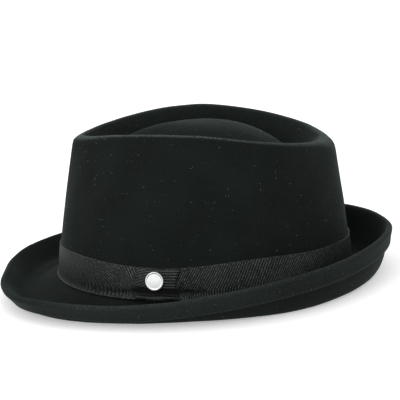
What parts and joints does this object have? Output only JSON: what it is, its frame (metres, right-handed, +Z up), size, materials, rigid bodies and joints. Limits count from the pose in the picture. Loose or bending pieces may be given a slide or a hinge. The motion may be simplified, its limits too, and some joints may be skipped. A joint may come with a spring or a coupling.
{
  "type": "trilby",
  "caption": "Black felt trilby with a pinched teardrop crown, a curled stitched brim, a ribbed ribbon band, a ribbon tab and a small round metal pin.",
  "frame": {"origin": "on the surface the hat rests on, under the middle of the brim's length and width", "axes": "+Z up, -Y towards the front of the hat, +X towards the wearer's left, where the tab and the pin are"},
  "size_m": [0.2416, 0.2736, 0.1127],
  "materials": {
    "felt": "matte black wool felt with a short nap",
    "ribbon": "black ribbed ribbon with a low sheen",
    "pin_metal": "bright brushed silver-coloured metal"
  },
  "bodies": {
    "root": {"felt_body": "felt", "ribbon_band": "ribbon", "ribbon_tab": "ribbon", "pin": "pin_metal"}
  },
  "joints": []
}
